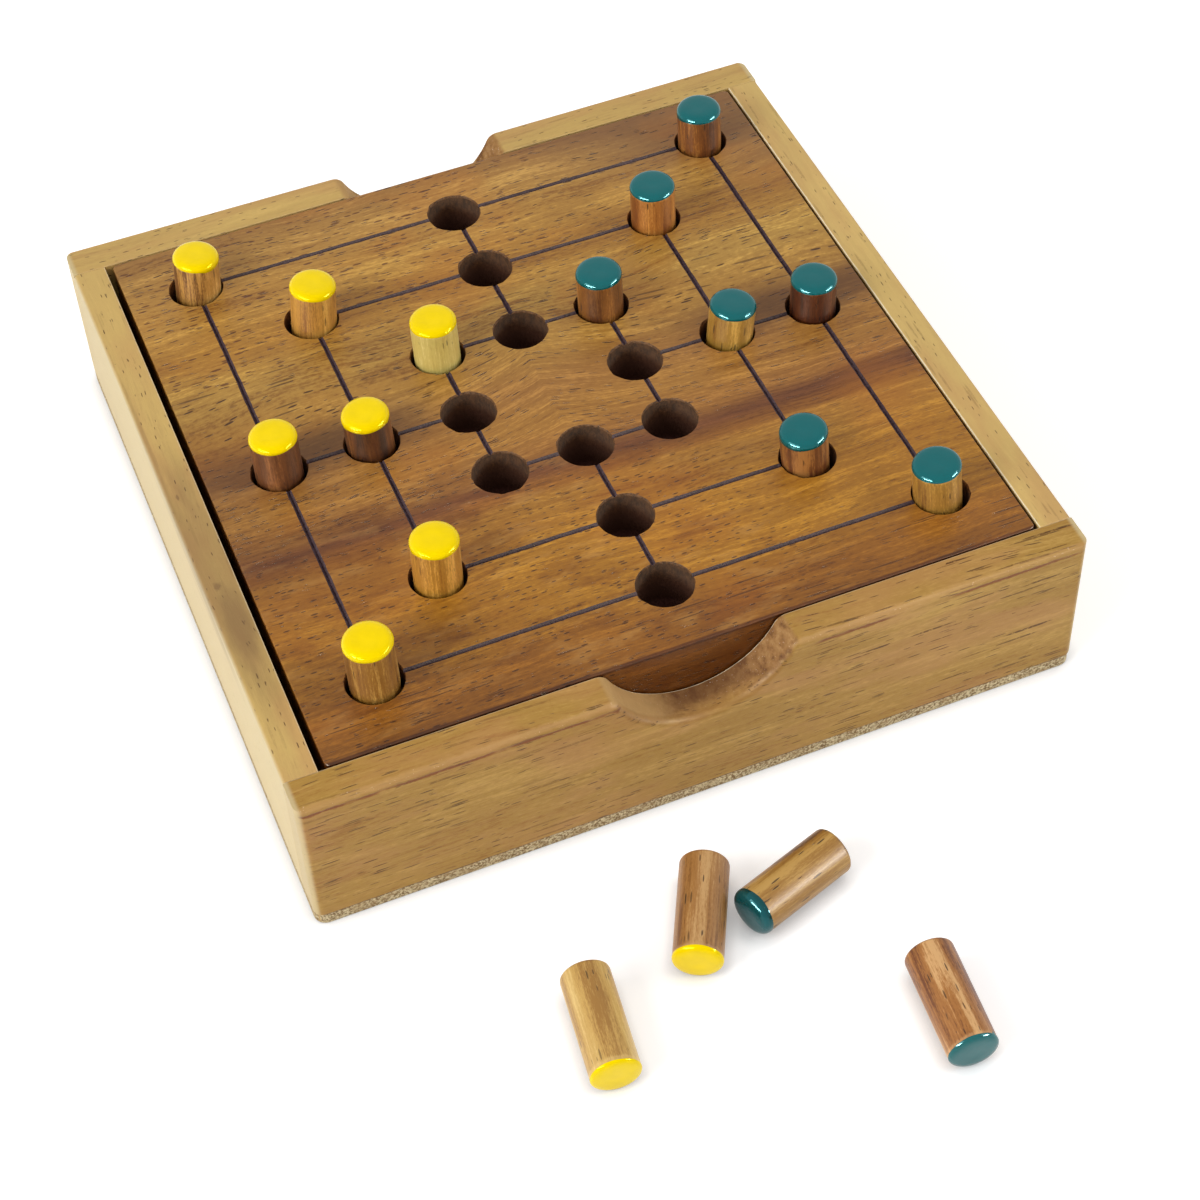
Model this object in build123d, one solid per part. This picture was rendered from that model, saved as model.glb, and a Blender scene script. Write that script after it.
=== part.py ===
from build123d import *
from math import atan, cos, degrees, sin
import os

# A wooden peg board in its tray: glued rails on a thin base, a lift-out board, two sets of painted pegs.
# Millimetres, +Z up. The origin is the centre of the underside of the base, the front rail is at -Y.

# Tray
tray_width = 131.4
tray_depth = 133.3
base_thickness = 2.5
base_corner_radius = 2.0
rail_height = 27.0
side_rail_thickness = 5.6
end_rail_thickness = 6.2
rail_corner_radius = 1.5
front_edge_bevel = 1.1
rail_edge_bevel = 0.6

# Finger scoops in the front and back rails
scoop_radius = 15.5
scoop_depth = 10.0
scoop_shoulder_radius = 2.3

# Strips that carry the board above the peg store
bearer_width = 5.0
bearer_height = 12.0

# Board, loose in the tray and pushed to the right
board_play_x = 0.85
board_play_y = 0.3
board_shift_x = 0.4
board_corner_radius = 1.0
board_edge_bevel = 0.6

# Marked grid on the board: three square rings round one middle, each line scored with a V tool
grid_margin = 11.25
ring_shares = {"outer": 1, "middle": 2 / 3, "inner": 5 / 16}
grid_shift_x = 0.8
grid_shift_y = 0.5
groove_width = 1.2
groove_depth = 0.7

# Pegs: turned from one bar, with one end dipped in enamel and rounded by it
peg_diameter = 8.0
peg_length = 18.5
peg_play = 1.4
tip_bevel = 0.7
wall_gap = 0.1
seat_gap = 0.1

# Pegs in the board: colour, ring, side, height above the board, lean as a share of the play, heading
standing_pegs = [
    ("yellow", "outer", "back left", 7.4, 0.7, 0),
    ("yellow", "middle", "back left", 8.2, 0.7, 350),
    ("yellow", "inner", "back left", 8.6, 0.2, 200),
    ("yellow", "middle", "left", 7.2, 0.4, 175),
    ("yellow", "outer", "left", 8.6, 0.1, 120),
    ("yellow", "middle", "front left", 9.0, 0.1, 40),
    ("yellow", "outer", "front left", 10.2, 0.1, 190),
    ("green", "outer", "back right", 8.0, 0.2, 160),
    ("green", "middle", "back right", 8.2, 0.2, 210),
    ("green", "inner", "back right", 8.2, 0.2, 185),
    ("green", "outer", "right", 6.8, 0.1, 20),
    ("green", "middle", "right", 6.4, 0.9, 0),
    ("green", "middle", "front right", 6.8, 0.7, 180),
    ("green", "outer", "front right", 7.2, 0.8, 165),
]

# Empty holes: ring, side, depth as drilled by hand
empty_holes = [
    ("middle", "front", 12.2),
    ("inner", "front left", 11.9),
    ("outer", "back", 11.7),
    ("inner", "front right", 11.4),
    ("outer", "front", 11.2),
    ("inner", "left", 10.9),
    ("middle", "back", 10.7),
    ("inner", "right", 10.4),
    ("inner", "back", 10.2),
    ("inner", "front", 9.9),
]

# Pegs lying on the table: colour, centre's place across, its distance before the tray, heading of the tip
loose_pegs = [
    ("yellow", -33.0, 35.75, -97),
    ("yellow", -11.4, 23.55, -117),
    ("green", 3.6, 23.95, -161),
    ("green", 16.2, 52.75, -95),
]

# Sizes that follow
opening_width = tray_width - 2 * side_rail_thickness
opening_depth = tray_depth - 2 * end_rail_thickness
tray_top = base_thickness + rail_height
board_bottom = base_thickness + bearer_height
board_thickness = tray_top - board_bottom
board_width = opening_width - 2 * board_play_x
board_depth = opening_depth - 2 * board_play_y
grid_x = board_shift_x + grid_shift_x
grid_y = grid_shift_y
outer_ring = min(board_width, board_depth) / 2 - grid_margin
peg_radius = peg_diameter / 2
hole_radius = peg_radius + peg_play / 2

# Where each side of a ring lies from its middle, and the order of its corners
side_steps = {
    "left": (-1, 0),
    "back": (0, 1),
    "right": (1, 0),
    "front": (0, -1),
    "back left": (-1, 1),
    "back right": (1, 1),
    "front right": (1, -1),
    "front left": (-1, -1),
}
straight_sides = ["left", "back", "right", "front"]
ring_corners = ["back left", "back right", "front right", "front left"]


def outer_edges(solid, height, axis, side):
    """Edges of one outer face that lie above a height."""
    face = solid.faces().sort_by(axis)[side]
    return face.edges().filter_by(lambda edge: edge.center().Z > height)


def base_panel():
    """Thin plywood floor under the whole frame."""
    panel = Rectangle(tray_width, tray_depth)
    panel = fillet(panel.vertices(), base_corner_radius)
    return extrude(panel, base_thickness)


def end_rail(edge_bevel):
    """Front rail, full width, with a sanded finger scoop in its top edge and its outer edge eased."""
    front = Pos(0, base_thickness + rail_height / 2) * Rectangle(tray_width, rail_height)
    scoop = Pos(0, tray_top - scoop_depth + scoop_radius) * Circle(scoop_radius)
    front -= scoop
    shoulders = front.vertices().group_by(Axis.Y)[-1].filter_by(lambda v: abs(v.X) < scoop_radius)
    front = fillet(shoulders, scoop_shoulder_radius)
    rail = extrude(Plane.XZ * front, end_rail_thickness)
    rail = Pos(0, end_rail_thickness - tray_depth / 2, 0) * rail
    corners = rail.edges().filter_by(Axis.Z).group_by(Axis.Y)[0]
    rail = fillet(corners, rail_corner_radius)
    top_edges = outer_edges(rail, base_thickness + rail_height / 2, Axis.Y, 0)
    top_edges = top_edges.filter_by(Axis.Z, reverse=True)
    return chamfer(top_edges, edge_bevel)


def side_rail():
    """Left rail, butted between the end rails."""
    x = -(tray_width - side_rail_thickness) / 2
    rail = Pos(x, 0, base_thickness + rail_height / 2) * Box(side_rail_thickness, opening_depth, rail_height)
    top_edge = rail.edges().filter_by(Axis.Y).sort_by(Axis.X)[:2].sort_by(Axis.Z)[-1]
    return chamfer(top_edge, rail_edge_bevel)


def bearer():
    """Left bearer strip, glued to the side rail and the base."""
    x = -(opening_width - bearer_width) / 2
    return Pos(x, 0, base_thickness + bearer_height / 2) * Box(bearer_width, opening_depth, bearer_height)


def hole_centre(ring, side):
    """Place of a hole on the board."""
    reach = outer_ring * ring_shares[ring]
    step_x, step_y = side_steps[side]
    return grid_x + reach * step_x, grid_y + reach * step_y


def hole_cutter(ring, side, depth):
    """One blind peg hole."""
    x, y = hole_centre(ring, side)
    return Pos(x, y, tray_top - depth / 2) * Cylinder(hole_radius, depth)


def hole_cutters():
    """All 24 holes; a peg's hole is as deep as leaves the peg standing at its own height."""
    under_pegs = [hole_cutter(ring, side, peg_length - proud) for _, ring, side, proud, _, _ in standing_pegs]
    return under_pegs + [hole_cutter(*hole) for hole in empty_holes]


def groove_cutter(start, end):
    """V groove from the middle of one hole to the middle of another, along X or Y."""
    x0, y0 = start
    x1, y1 = end
    half = groove_width / 2
    section = Plane.YZ * Polygon((-half, 0), (0, -groove_depth), (half, 0), align=None)
    length = abs(x1 - x0) + abs(y1 - y0)
    turn = 90 if abs(y1 - y0) > abs(x1 - x0) else 0
    return Pos(min(x0, x1), min(y0, y1), tray_top) * Rot(0, 0, turn) * extrude(section, length)


def scored_lines():
    """The three squares and the four lines that join their side middles."""
    cutters = []
    for ring in ring_shares:
        corners = [hole_centre(ring, side) for side in ring_corners]
        for number, corner in enumerate(corners):
            cutters.append(groove_cutter(corner, corners[number - 1]))
    for side in straight_sides:
        cutters.append(groove_cutter(hole_centre("inner", side), hole_centre("outer", side)))
    return cutters


def playing_board():
    """Lift-out board with its scored lines and blind holes."""
    outline = fillet(Rectangle(board_width, board_depth).vertices(), board_corner_radius)
    board = Pos(board_shift_x, 0, board_bottom) * extrude(outline, board_thickness)
    board = chamfer(board.faces().sort_by(Axis.Z)[-1].edges(), board_edge_bevel)
    return board - scored_lines() - hole_cutters()


def painted_peg():
    """Turned peg, foot at the origin, with its painted upper end rounded."""
    peg = Pos(0, 0, peg_length / 2) * Cylinder(peg_radius, peg_length)
    return chamfer(peg.edges().sort_by(Axis.Z)[-1], tip_bevel)


def standing_place(ring, side, proud, lean_share, heading):
    """Where a peg stands: leaning in its loose hole, foot just off the hole's floor."""
    x, y = hole_centre(ring, side)
    depth = peg_length - proud
    lean = atan(lean_share * (peg_play - 2 * wall_gap) / depth)
    foot_drop = peg_radius * sin(lean)
    below_pivot = (depth / 2 - seat_gap - foot_drop) / cos(lean)
    pivot = Pos(x, y, tray_top - depth / 2)
    return pivot * Rot(0, 0, heading) * Rot(0, degrees(lean), 0) * Pos(0, 0, -below_pivot)


def lying_place(x, distance, heading):
    """Where a loose peg lies on the table, its painted end along the heading."""
    centre = Pos(x, -tray_depth / 2 - distance, peg_radius)
    return centre * Rot(0, 0, heading) * Rot(0, 90, 0) * Pos(0, 0, -peg_length / 2)


parts = {
    "base_panel": base_panel(),
    "front_rail": end_rail(front_edge_bevel),
    "back_rail": Rot(0, 0, 180) * end_rail(rail_edge_bevel),
    "left_rail": side_rail(),
    "right_rail": Rot(0, 0, 180) * side_rail(),
    "left_bearer": bearer(),
    "right_bearer": Rot(0, 0, 180) * bearer(),
    "playing_board": playing_board(),
}

places = [(colour, standing_place(*rest)) for colour, *rest in standing_pegs]
places += [(colour, lying_place(*rest)) for colour, *rest in loose_pegs]
peg = painted_peg()
count = {"yellow": 0, "green": 0}
for colour, place in places:
    count[colour] += 1
    parts[f"{colour}_peg_{count[colour]}"] = place * peg

os.makedirs("parts", exist_ok=True)
for name, solid in parts.items():
    export_step(solid, f"parts/{name}.step")
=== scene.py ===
from math import atan2, cos, degrees, pi, radians, sin
from random import Random

import bmesh
import bpy
from mathutils import Matrix, Vector


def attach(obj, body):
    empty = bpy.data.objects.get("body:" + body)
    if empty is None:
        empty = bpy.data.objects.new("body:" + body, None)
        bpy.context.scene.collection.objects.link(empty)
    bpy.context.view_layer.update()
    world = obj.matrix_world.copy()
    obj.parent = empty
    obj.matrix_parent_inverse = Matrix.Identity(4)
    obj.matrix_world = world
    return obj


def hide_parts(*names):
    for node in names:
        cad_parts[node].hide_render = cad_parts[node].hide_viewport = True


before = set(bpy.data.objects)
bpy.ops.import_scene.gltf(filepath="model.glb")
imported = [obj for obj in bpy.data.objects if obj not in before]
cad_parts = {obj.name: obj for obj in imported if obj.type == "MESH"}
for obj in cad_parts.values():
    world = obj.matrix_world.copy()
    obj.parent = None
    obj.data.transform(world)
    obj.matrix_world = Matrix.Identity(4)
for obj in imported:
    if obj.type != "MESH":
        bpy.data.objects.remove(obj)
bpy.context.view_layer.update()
mm = 0.001
trayTop = 29.5  # rails and board end at the same height, in millimetres
touch = 0.01  # places closer than this count as the same, in millimetres
print("frame loaded")

# Hand tools used on every piece

def pickOnly(*things):
    bpy.ops.object.select_all(action="DESELECT")
    for thing in things:
        thing.select_set(True)
    bpy.context.view_layer.objects.active = things[0]


def editMode():
    bpy.ops.object.mode_set(mode="EDIT")


def objectMode():
    bpy.ops.object.mode_set(mode="OBJECT")


def startPiece(add, **shape):  # a new primitive, alone in the selection, with its place in its mesh
    bpy.ops.object.select_all(action="DESELECT")
    add(**shape)
    bpy.ops.object.transform_apply(location=True, rotation=True, scale=True)
    return bpy.context.active_object


def startRod(sides, radius, length, rise=0.0, turn=(0, 0, 0)):  # a cylinder with its middle this high
    shape = {"vertices": sides, "radius": radius * mm, "depth": length * mm}
    place = {"location": (0, 0, rise * mm), "rotation": turn}
    return startPiece(bpy.ops.mesh.primitive_cylinder_add, **shape, **place)


def startBlock(name, size, centre):  # a cube at its size and place, in millimetres
    bpy.ops.object.select_all(action="DESELECT")
    bpy.ops.mesh.primitive_cube_add(size=1, location=Vector(centre) * mm)
    block = bpy.context.active_object
    block.name = name
    block.scale = Vector(size) * mm
    bpy.ops.object.transform_apply(location=True, rotation=True, scale=True)
    return block


def pickFaces(piece, test):  # in edit mode: test(middle in mm, normal)
    shape = bmesh.from_edit_mesh(piece.data)
    bpy.ops.mesh.select_mode(type="FACE")
    bpy.ops.mesh.select_all(action="DESELECT")
    for face in shape.faces:
        face.select_set(bool(test(face.calc_center_median() / mm, face.normal)))
    bmesh.update_edit_mesh(piece.data)


def pickEdges(piece, test):  # in edit mode: test(end, end, direction), ends in mm
    shape = bmesh.from_edit_mesh(piece.data)
    bpy.ops.mesh.select_mode(type="EDGE")
    bpy.ops.mesh.select_all(action="DESELECT")
    for edge in shape.edges:
        a, b = edge.verts[0].co / mm, edge.verts[1].co / mm
        edge.select_set(bool(test(a, b, (b - a).normalized())))
    bmesh.update_edit_mesh(piece.data)


def upright(d):
    return abs(d.z) > 0.99


def level(height, a, d):  # an edge that lies flat at this height
    return abs(d.z) < 0.01 and abs(a.z - height) < touch


def roundEdges(piece, test, radius, steps):
    pickEdges(piece, test)
    bpy.ops.mesh.bevel(offset=radius * mm, segments=steps, profile=0.5, affect="EDGES")


def pull(dx=0, dy=0, dz=0):  # extrude what is selected, in millimetres
    bpy.ops.mesh.extrude_region_move(TRANSFORM_OT_translate={"value": (dx * mm, dy * mm, dz * mm)})


def widen(factor):  # resize what is selected in the plan, round the origin
    bpy.ops.transform.resize(value=(factor, factor, 1), center_override=(0, 0, 0))


def copyOf(thing, name):
    twin = thing.copy()
    twin.data = thing.data.copy()
    twin.name = name
    bpy.context.scene.collection.objects.link(twin)
    return twin


def dress(piece, *finishes):
    for material in finishes:
        piece.data.materials.append(material)


def applyLast(piece, modifier):
    pickOnly(piece)
    bpy.ops.object.modifier_apply(modifier=modifier.name)


def smoothen(piece, angle=35):  # flat faces stay flat, rounded edges read as round
    pickOnly(piece)
    bpy.ops.object.shade_smooth_by_angle(angle=radians(angle))
    even = piece.modifiers.new("evenNormals", "WEIGHTED_NORMAL")
    even.keep_sharp = True
    applyLast(piece, even)


def handIn(piece, body, slot, *nodes):
    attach(piece, body)
    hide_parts(*nodes)


# Short ways to wire a finish

bench = {}  # "tree" is the node tree that is being wired


def addNode(kind, links=None, **settings):
    tree = bench["tree"]
    node = tree.nodes.new(kind)
    for key, value in settings.items():
        setattr(node, key, value)
    for key, value in (links or {}).items():
        socket = node.inputs[key]
        if isinstance(value, bpy.types.NodeSocket):
            tree.links.new(value, socket)
        else:
            socket.default_value = value
    return node


def wire(source, target):
    bench["tree"].links.new(source, target)


def calc(what, a, b=0.0, c=0.0):
    return addNode("ShaderNodeMath", {0: a, 1: b, 2: c}, operation=what).outputs[0]


def plus(a, b):
    return calc("ADD", a, b)


def minus(a, b):
    return calc("SUBTRACT", a, b)


def times(a, b):
    return calc("MULTIPLY", a, b)


def scaled(value, factor, extra):
    return calc("MULTIPLY_ADD", value, factor, extra)


def larger(a, b):
    return calc("MAXIMUM", a, b)


def unsigned(value):
    return calc("ABSOLUTE", value)


def vectorCalc(what, a, b):
    return addNode("ShaderNodeVectorMath", {0: a, 1: b}, operation=what).outputs[0]


def lengthOf(vector):
    return addNode("ShaderNodeVectorMath", {0: vector}, operation="LENGTH").outputs["Value"]


def axesOf(coords):
    return addNode("ShaderNodeSeparateXYZ", {0: coords}).outputs


def ease(value, low, high, toLow=0.0, toHigh=1.0):  # smooth step between two values
    links = {"Value": value, "From Min": low, "From Max": high, "To Min": toLow, "To Max": toHigh}
    return addNode("ShaderNodeMapRange", links, interpolation_type="SMOOTHSTEP").outputs["Result"]


def blend(amount, a, b, way="MIX"):
    return addNode("ShaderNodeMix", {0: amount, 6: a, 7: b}, data_type="RGBA", blend_type=way).outputs[2]


def noise(coords, scale, detail=2.0, rough=0.5):
    links = {"Vector": coords, "Scale": scale, "Detail": detail, "Roughness": rough}
    return addNode("ShaderNodeTexNoise", links).outputs["Fac"]


def stretch(coords, x, y, z, shift=(0, 0, 0)):
    links = {"Vector": coords, "Scale": (x, y, z), "Location": shift}
    return addNode("ShaderNodeMapping", links).outputs[0]


def streaks(coords, x, y, z, detail=2.0, rough=0.5, shift=(0, 0, 0)):  # noise drawn out along the axes
    return noise(stretch(coords, x, y, z, shift), 1.0, detail, rough)


def tone(r, g, b):  # a colour read off a screen, 0 to 255, as the shader wants it
    return tuple(((v / 255 + 0.055) / 1.055) ** 2.4 if v > 10 else v / 3294.6 for v in (r, g, b)) + (1.0,)


def ramp(value, stops):
    node = addNode("ShaderNodeValToRGB", {0: value})
    band = node.color_ramp
    band.interpolation = "EASE"
    for number, (place, colour) in enumerate(stops):
        stop = band.elements[number] if number < 2 else band.elements.new(place)
        stop.position, stop.color = place, colour
    return node.outputs[0]


def startGroup(name, inputs, outputs):
    group = bpy.data.node_groups.new(name, "ShaderNodeTree")
    bench["tree"] = group
    for label, kind, value in inputs:
        socket = group.interface.new_socket(label, in_out="INPUT", socket_type="NodeSocket" + kind)
        if value is not None:
            socket.default_value = value
    for label, kind in outputs:
        group.interface.new_socket(label, in_out="OUTPUT", socket_type="NodeSocket" + kind)
    return group, group.nodes.new("NodeGroupInput").outputs, group.nodes.new("NodeGroupOutput").inputs


def useGroup(group, links):
    return addNode("ShaderNodeGroup", links, node_tree=group).outputs


# Long grain: fibres and broad figure along X, from coordinates in millimetres
grainGroup, given, made = startGroup(
    "longGrain",
    [
        ("Coords", "Vector", None), ("Light", "Color", None), ("Middle", "Color", None),
        ("Dark", "Color", None), ("Figure", "Float", 1.0), ("Fibre", "Float", 1.0),
    ],
    [("Colour", "Color"), ("Height", "Float")],
)
broad = streaks(given["Coords"], 0.016, 0.12, 0.12, 3.0, 0.55)
fibres = streaks(given["Coords"], 0.07, 1.1, 1.1, 4.0, 0.6)
hairs = streaks(given["Coords"], 0.5, 5.0, 5.0, 3.0, 0.65)
mottle = streaks(given["Coords"], 0.9, 2.0, 2.0, 3.0, 0.6)


def sway(value, strength, amount):
    return times(minus(value, 0.5), times(strength, amount))


place = plus(sway(broad, given["Figure"], 2.4), sway(fibres, given["Fibre"], 1.3))
place = plus(place, plus(sway(hairs, given["Fibre"], 0.8), sway(mottle, given["Fibre"], 0.7)))
place = plus(place, 0.5)
lower = blend(ease(place, 0.5, 1.0), given["Middle"], given["Light"])
wire(blend(ease(place, 0.5, 0.0), lower, given["Dark"]), made["Colour"])
wire(plus(times(fibres, 0.4), times(hairs, 0.6)), made["Height"])

# Drift: bends straight coordinates a little, so that the grain wanders
driftGroup, given, made = startGroup(
    "grainDrift",
    [("Coords", "Vector", None), ("Amount", "Float", 4.0)],
    [("Coords", "Vector")],
)
wave = streaks(given["Coords"], 0.022, 0.03, 0.03, 2.0)
offset = times(minus(wave, 0.5), given["Amount"])
offset = addNode("ShaderNodeCombineXYZ", {1: offset}).outputs[0]
wire(vectorCalc("ADD", given["Coords"], offset), made["Coords"])

# Pore dashes: short dark strokes along X, each in its own cell, thicker on the ground in some places
poreGroup, given, made = startGroup(
    "poreDashes",
    [
        ("Coords", "Vector", None), ("Length", "Float", 2.4), ("Spacing", "Float", 0.45),
        ("Share", "Float", 0.5), ("Size", "Float", 0.25), ("Clusters", "Float", 0.5),
    ],
    [("Mask", "Float")],
)
alongScale = calc("DIVIDE", 1.0, given["Length"])
acrossScale = calc("DIVIDE", 1.0, given["Spacing"])
cellScale = addNode("ShaderNodeCombineXYZ", {0: alongScale, 1: acrossScale, 2: acrossScale}).outputs[0]
cells = vectorCalc("MULTIPLY", given["Coords"], cellScale)
spots = addNode("ShaderNodeTexVoronoi", {"Vector": cells, "Scale": 1.0, "Randomness": 1.0})
lots = addNode("ShaderNodeSeparateColor", {0: spots.outputs["Color"]}).outputs
crowd = streaks(given["Coords"], 0.09, 0.35, 0.35, 2.0)
crowd = times(minus(crowd, 0.5), times(given["Clusters"], 3.0))
chosen = calc("LESS_THAN", lots[0], times(given["Share"], plus(1.0, crowd)))
reach = times(given["Size"], scaled(lots[1], 0.9, 0.5))
dash = ease(spots.outputs["Distance"], reach, times(reach, 0.72))
wire(times(times(dash, chosen), scaled(lots[2], 0.35, 0.65)), made["Mask"])

# Rubbed edge: a ragged band that fades with the distance from an edge, in millimetres
rubGroup, given, made = startGroup(
    "rubbedEdge",
    [
        ("Coords", "Vector", None), ("Distance", "Float", 0.0),
        ("Width", "Float", 1.0), ("Ragged", "Float", 0.6),
    ],
    [("Mask", "Float")],
)
ragged = streaks(given["Coords"], 0.5, 1.2, 1.2, 5.0, 0.7)
ragged = times(minus(ragged, 0.5), times(given["Ragged"], 3.0))
limit = times(given["Width"], plus(1.0, ragged))
wire(ease(given["Distance"], limit, times(limit, 0.3)), made["Mask"])
print("shader groups built")


def longGrain(coords, light, middle, dark, figure, fibre):
    tones = {"Light": tone(*light), "Middle": tone(*middle), "Dark": tone(*dark)}
    wood = useGroup(grainGroup, {"Coords": coords, **tones, "Figure": figure, "Fibre": fibre})
    return wood["Colour"], wood["Height"]


def dashes(coords, marks):
    return useGroup(poreGroup, {"Coords": coords, **marks})["Mask"]


def rubbed(coords, distance, width, ragged):
    links = {"Coords": coords, "Distance": distance, "Width": width, "Ragged": ragged}
    return useGroup(rubGroup, links)["Mask"]


def stain(colour, mask, share, rgb):  # lay a tone over a colour where the mask is bright
    return blend(times(mask, share), colour, tone(*rgb))


def startMaterial(name):
    material = bpy.data.materials.new(name)
    material.use_nodes = True
    bench["tree"] = material.node_tree
    bench["tree"].nodes.clear()
    return material


def millimetres(attribute=None):  # coordinates of the piece, or those kept in one of its attributes
    if attribute:
        source = addNode("ShaderNodeAttribute", attribute_name=attribute).outputs["Vector"]
    else:
        source = addNode("ShaderNodeTexCoord").outputs["Object"]
    return addNode("ShaderNodeVectorMath", {0: source, "Scale": 1000.0}, operation="SCALE").outputs[0]


def alongGrain(large, turn=(0, 0, 0), shift=(0, 0, 0)):  # turned until the grain runs along X
    links = {"Vector": large, "Rotation": [radians(angle) for angle in turn], "Location": shift}
    return addNode("ShaderNodeMapping", links).outputs[0]


def woodColour(coords, look):
    drifted = useGroup(driftGroup, {"Coords": coords, "Amount": look["drift"]})["Coords"]
    tones = [look[name] for name in ("light", "middle", "dark")]
    colour, height = longGrain(drifted, *tones, look["figure"], look["fibre"])
    return colour, height, dashes(drifted, look["pores"])


woodMirror = {"Specular_IOR_Level": 0.28, "Specular_Tint": (1.0, 0.86, 0.68, 1.0)}  # what a finish reflects


def finish(material, colour, height, depth, rough, **constants):
    bump = addNode("ShaderNodeBump", {"Height": height, "Distance": depth * mm, "Strength": 1.0})
    links = {"Base Color": colour, "Roughness": rough, "Normal": bump.outputs[0]}
    shader = addNode("ShaderNodeBsdfPrincipled", links)
    for key, value in {**woodMirror, **constants}.items():
        shader.inputs[key.replace("_", " ")].default_value = value
    addNode("ShaderNodeOutputMaterial", {"Surface": shader.outputs[0]})
    return material


# Wood of the rails

railLook = {
    "light": (188, 149, 76), "middle": (164, 125, 56), "dark": (140, 94, 34),
    "figure": 0.6, "fibre": 0.95, "drift": 6.0,
    "pores": {"Length": 5.4, "Spacing": 0.34, "Share": 0.36, "Size": 0.27, "Clusters": 1.8},
    "lines": {"Length": 17.0, "Spacing": 0.7, "Share": 0.5, "Size": 0.32, "Clusters": 1.6},
    "lineShare": 0.9, "lineTone": (70, 32, 6), "poreTone": (52, 14, 0),
    "flush": (182, 130, 84), "worn": (190, 146, 92), "scar": (120, 62, 28), "fleck": (226, 196, 156),
    # lit is a painted light tone for the outer sides and rail ends that face the lamp
    "grime": (112, 82, 54), "pale": (224, 194, 124), "lit": (202, 184, 140), "nickAndHighlight": (244, 230, 196),
    # inside is a painted shade tone for the inner faces of the side rails
    "inside": (0.3, 0.24, 0.22, 1), "endFrom": 64.6, "endTo": 65.4,
}
sideLook = {
    **railLook, "figure": 1.1, "fibre": 0.85, "lineShare": 0.3,
    "pores": {"Length": 2.2, "Spacing": 0.36, "Share": 0.3, "Size": 0.23, "Clusters": 0.8},
    "lines": {**railLook["lines"], "Length": 9.0},
}
scoopLook = {
    "radius": 15.5, "height": 35.0,
    "light": (172, 130, 78), "middle": (140, 97, 50), "dark": (100, 60, 26),
    "fresh": (192, 152, 94), "glint": (250, 236, 214),
    # the lip tones are painted shade on the rounded lip of the scoop
    "lipShadeOnFace": (0.78, 0.73, 0.66, 1), "lipShadeInHollow": (0.78, 0.7, 0.6, 1),
}


def blotch(large, at, wide, long, strength):  # a soft stain with its centre and half widths in mm
    away = vectorCalc("MULTIPLY", vectorCalc("SUBTRACT", large, at), (1 / wide, 1 / long, 0.12))
    far = lengthOf(away)
    cloud = streaks(large, 0.9 / wide, 0.9 / long, 0.3, 4.0, 0.65)
    far = plus(far, times(minus(cloud, 0.5), 1.4))
    return times(ease(far, 1.0, 0.3), strength)


def sandedScoop(large, where, inward, off, colour, height):  # end grain, softly blended into the face
    look = scoopLook
    middle = ease(unsigned(minus(where[0], 2.0)), 11.0, 3.0)
    ragged = noise(large, 0.9, 4.0, 0.6)
    depth = scaled(minus(ragged, 0.5), 2.4, inward)
    mask = ease(depth, times(middle, 0.2), scaled(middle, 3.6, 0.7))
    mask = times(mask, ease(off, 1.3, 0.5))
    fuzz = streaks(large, 0.8, 0.6, 0.8, 5.0, 0.62)
    hollow = blend(ease(fuzz, 0.42, 0.75), tone(*look["middle"]), tone(*look["light"]))
    hollow = blend(ease(fuzz, 0.5, 0.28), hollow, tone(*look["dark"]))
    hollow = stain(hollow, middle, 0.7, look["dark"])
    hollow = blend(ease(where[0], -3.0, -9.0, 0.0, 0.8), hollow, tone(*look["fresh"]))
    grit = noise(large, 3.0, 2.0, 0.7)
    specks = ease(grit, 0.66, 0.72)
    hollow = stain(hollow, specks, ease(where[0], -4.0, 6.0, 0.12, 0.36), look["glint"])
    tall = plus(times(fuzz, 0.5), times(specks, 0.3))
    lipShade = times(ease(inward, 1.7, 0.6), ease(unsigned(off), 1.4, 0.4))
    lipShade = times(lipShade, ease(where[2], 29.2, 27.0))  # painted shade: the rounded lip is darkened where it catches the lamp
    colour = blend(lipShade, colour, look["lipShadeOnFace"], "MULTIPLY")
    hollow = blend(lipShade, hollow, look["lipShadeInHollow"], "MULTIPLY")
    height = scaled(mask, minus(tall, height), height)
    return blend(mask, colour, hollow), height, mask


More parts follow.
